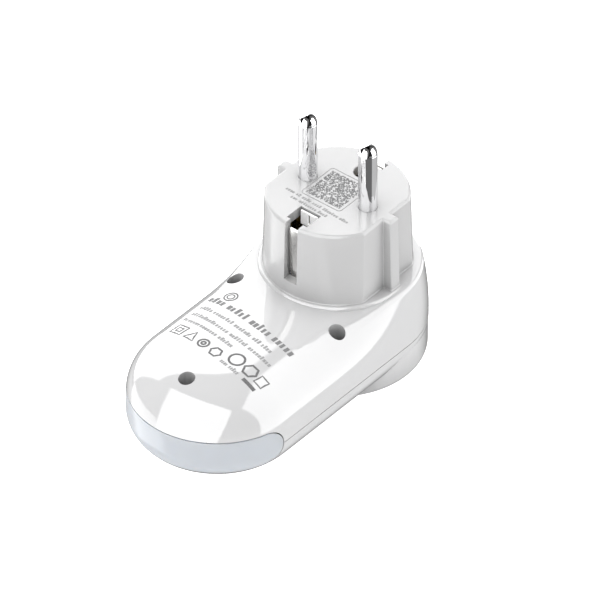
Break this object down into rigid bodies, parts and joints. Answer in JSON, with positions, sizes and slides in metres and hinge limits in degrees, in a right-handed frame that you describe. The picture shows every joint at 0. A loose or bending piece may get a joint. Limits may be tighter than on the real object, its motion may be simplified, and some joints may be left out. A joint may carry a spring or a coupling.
{
  "type": "smart plug",
  "caption": "Plug-through smart plug: two-pin earthed plug on the back of a long rounded housing, shuttered recessed socket on the front, push button and wrap-round light window.",
  "frame": {"origin": "centre of the plug's pin face", "axes": "+Z out along the pins, X through both pins, -Y towards the toe of the housing with the light window"},
  "size_m": [0.0452, 0.0915, 0.0671],
  "materials": {
    "gloss_white": "high-gloss moulded white",
    "satin_white": "white, slightly softer gloss",
    "shutter_white": "plain moulded white",
    "diffuser": "milky blue-grey light diffuser, smooth",
    "clear_guide": "clear moulded light guide",
    "fuse_glass": "clear glass tube with metal caps",
    "chrome": "bright plated",
    "nickel": "bright nickel plate",
    "steel": "zinc-plated steel",
    "brass": "stamped, satin",
    "board_green": "solder-masked laminate",
    "black_plastic": "moulded black",
    "amber_plastic": "tape-wrapped winding",
    "blue_coat": "dipped epoxy coat",
    "red_sleeve": "wire insulation",
    "blue_sleeve": "wire insulation",
    "red_plastic": "switch plunger",
    "led_lens": "clear yellowish lens"
  },
  "bodies": {
    "housing": {"back_casing": "gloss_white", "front_casing": "gloss_white", "light_window": "diffuser", "light_guide": "clear_guide", "casing_screw_1": "steel", "casing_screw_2": "steel", "casing_screw_3": "steel", "plug_barrel": "satin_white", "live_pin": "chrome", "neutral_pin": "chrome", "plug_earth_clip_toe": "nickel", "plug_earth_clip_heel": "nickel", "earth_bridge": "brass", "earth_pin_sleeve": "brass", "socket_cup": "satin_white", "shutter_spring": "steel", "live_contact": "brass", "neutral_contact": "brass", "neutral_busbar": "brass", "live_wire": "red_sleeve", "load_wire": "red_sleeve", "neutral_wire": "blue_sleeve", "main_board": "board_green", "relay": "black_plastic", "transformer": "amber_plastic", "capacitor_mid": "black_plastic", "capacitor_toe": "black_plastic", "varistor": "blue_coat", "fuse": "fuse_glass", "wifi_board": "board_green", "wifi_shield": "nickel", "switch_body": "black_plastic", "status_led_1": "led_lens", "status_led_2": "led_lens", "status_led_3": "led_lens"},
    "button": {"power_button": "satin_white"},
    "plunger": {"switch_plunger": "red_plastic"},
    "shutter": {"safety_shutter": "shutter_white"},
    "earth_clip_toe": {"socket_earth_clip_toe": "nickel"},
    "earth_clip_heel": {"socket_earth_clip_heel": "nickel"}
  },
  "joints": [
    {"name": "button_press", "type": "slide", "parent": "housing", "child": "button", "axis": [0, 0, 1], "range_m": [0, 0.00025], "stiffness_N_per_m": 2500},
    {"name": "plunger_press", "type": "slide", "parent": "housing", "child": "plunger", "axis": [0, 0, 1], "range_m": [0, 0.00025]},
    {"name": "shutter_turn", "type": "hinge", "parent": "housing", "child": "shutter", "pos_m": [0, 0, -0.0278], "axis": [0, 0, 1], "range_deg": [0, 35]},
    {"name": "earth_clip_toe_flex", "type": "hinge", "parent": "housing", "child": "earth_clip_toe", "pos_m": [0, -0.0182, -0.0297], "axis": [-1, 0, 0], "range_deg": [0, 3]},
    {"name": "earth_clip_heel_flex", "type": "hinge", "parent": "housing", "child": "earth_clip_heel", "pos_m": [0, 0.0182, -0.0297], "axis": [1, 0, 0], "range_deg": [0, 3]}
  ],
  "couplings": [
    {"joint": "plunger_press", "follows": "button_press", "ratio": 1}
  ]
}
